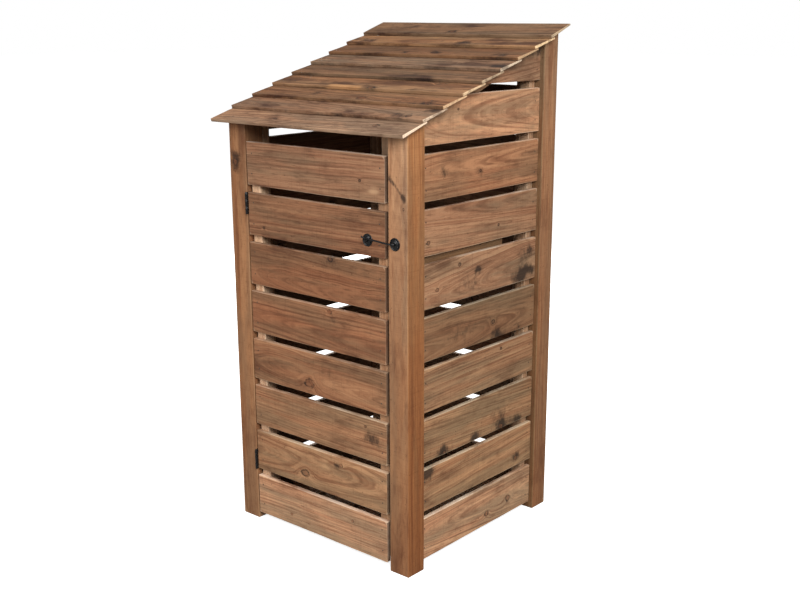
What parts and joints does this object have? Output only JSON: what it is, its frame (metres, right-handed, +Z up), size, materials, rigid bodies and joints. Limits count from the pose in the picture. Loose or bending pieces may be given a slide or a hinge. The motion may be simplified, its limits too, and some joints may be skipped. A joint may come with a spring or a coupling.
{
  "type": "slatted timber store with door",
  "caption": "Tall slatted softwood log or bin store with a lapped sloping roof and a side-hung slatted door held by a cabin hook.",
  "frame": {"origin": "on the ground under the middle of the roof's outline", "axes": "+Z up, +X to the right as seen from the front, the door faces -Y"},
  "size_m": [0.805, 0.828, 1.6567],
  "materials": {
    "post_timber": "rough-sawn softwood, dip-stained mid brown",
    "slat_timber": "rough-sawn softwood, dip-stained mid brown with knots",
    "roof_timber": "feather-edged softwood, greyer brown, cream fresh-cut ends",
    "batten_timber": "rough-sawn softwood, paler",
    "black_iron": "satin black"
  },
  "bodies": {
    "frame": {"post_front_left": "post_timber", "post_front_right": "post_timber", "post_back_left": "post_timber", "post_back_right": "post_timber", "side_slat_left_01": "slat_timber", "side_slat_left_02": "slat_timber", "side_slat_left_03": "slat_timber", "side_slat_left_04": "slat_timber", "side_slat_left_05": "slat_timber", "side_slat_left_06": "slat_timber", "side_slat_left_07": "slat_timber", "side_slat_left_08": "slat_timber", "side_slat_left_09": "slat_timber", "side_slat_left_10": "slat_timber", "side_slat_right_01": "slat_timber", "side_slat_right_02": "slat_timber", "side_slat_right_03": "slat_timber", "side_slat_right_04": "slat_timber", "side_slat_right_05": "slat_timber", "side_slat_right_06": "slat_timber", "side_slat_right_07": "slat_timber", "side_slat_right_08": "slat_timber", "side_slat_right_09": "slat_timber", "side_slat_right_10": "slat_timber", "side_batten_left_front": "batten_timber", "side_batten_left_back": "batten_timber", "side_batten_right_front": "batten_timber", "side_batten_right_back": "batten_timber", "roof_bearer_left": "batten_timber", "roof_bearer_right": "batten_timber", "back_panel": "slat_timber", "floor_panel": "batten_timber", "door_stop": "batten_timber", "side_rail_right": "batten_timber", "roof_board_01": "roof_timber", "roof_board_02": "roof_timber", "roof_board_03": "roof_timber", "roof_board_04": "roof_timber", "roof_board_05": "roof_timber", "roof_board_06": "roof_timber", "roof_board_07": "roof_timber", "roof_board_08": "roof_timber", "roof_board_09": "roof_timber", "hinge_upper_post_leaf": "black_iron", "hinge_lower_post_leaf": "black_iron", "hook_post_plate": "black_iron"},
    "door": {"door_slat_01": "slat_timber", "door_slat_02": "slat_timber", "door_slat_03": "slat_timber", "door_slat_04": "slat_timber", "door_slat_05": "slat_timber", "door_slat_06": "slat_timber", "door_slat_07": "slat_timber", "door_slat_08": "slat_timber", "door_batten_hinge": "batten_timber", "door_batten_latch": "batten_timber", "hinge_upper_door_leaf": "black_iron", "hinge_lower_door_leaf": "black_iron", "hook_eye_plate": "black_iron"},
    "hook": {"hook": "black_iron"}
  },
  "joints": [
    {"name": "door_swing", "type": "hinge", "parent": "frame", "child": "door", "pos_m": [-0.3, -0.3658, 0.66], "axis": [0, 0, -1], "range_deg": [0, 180]},
    {"name": "hook_lift", "type": "hinge", "parent": "frame", "child": "hook", "pos_m": [0.3285, -0.3725, 1.045], "axis": [0, 1, 0], "range_deg": [0, 110]}
  ]
}
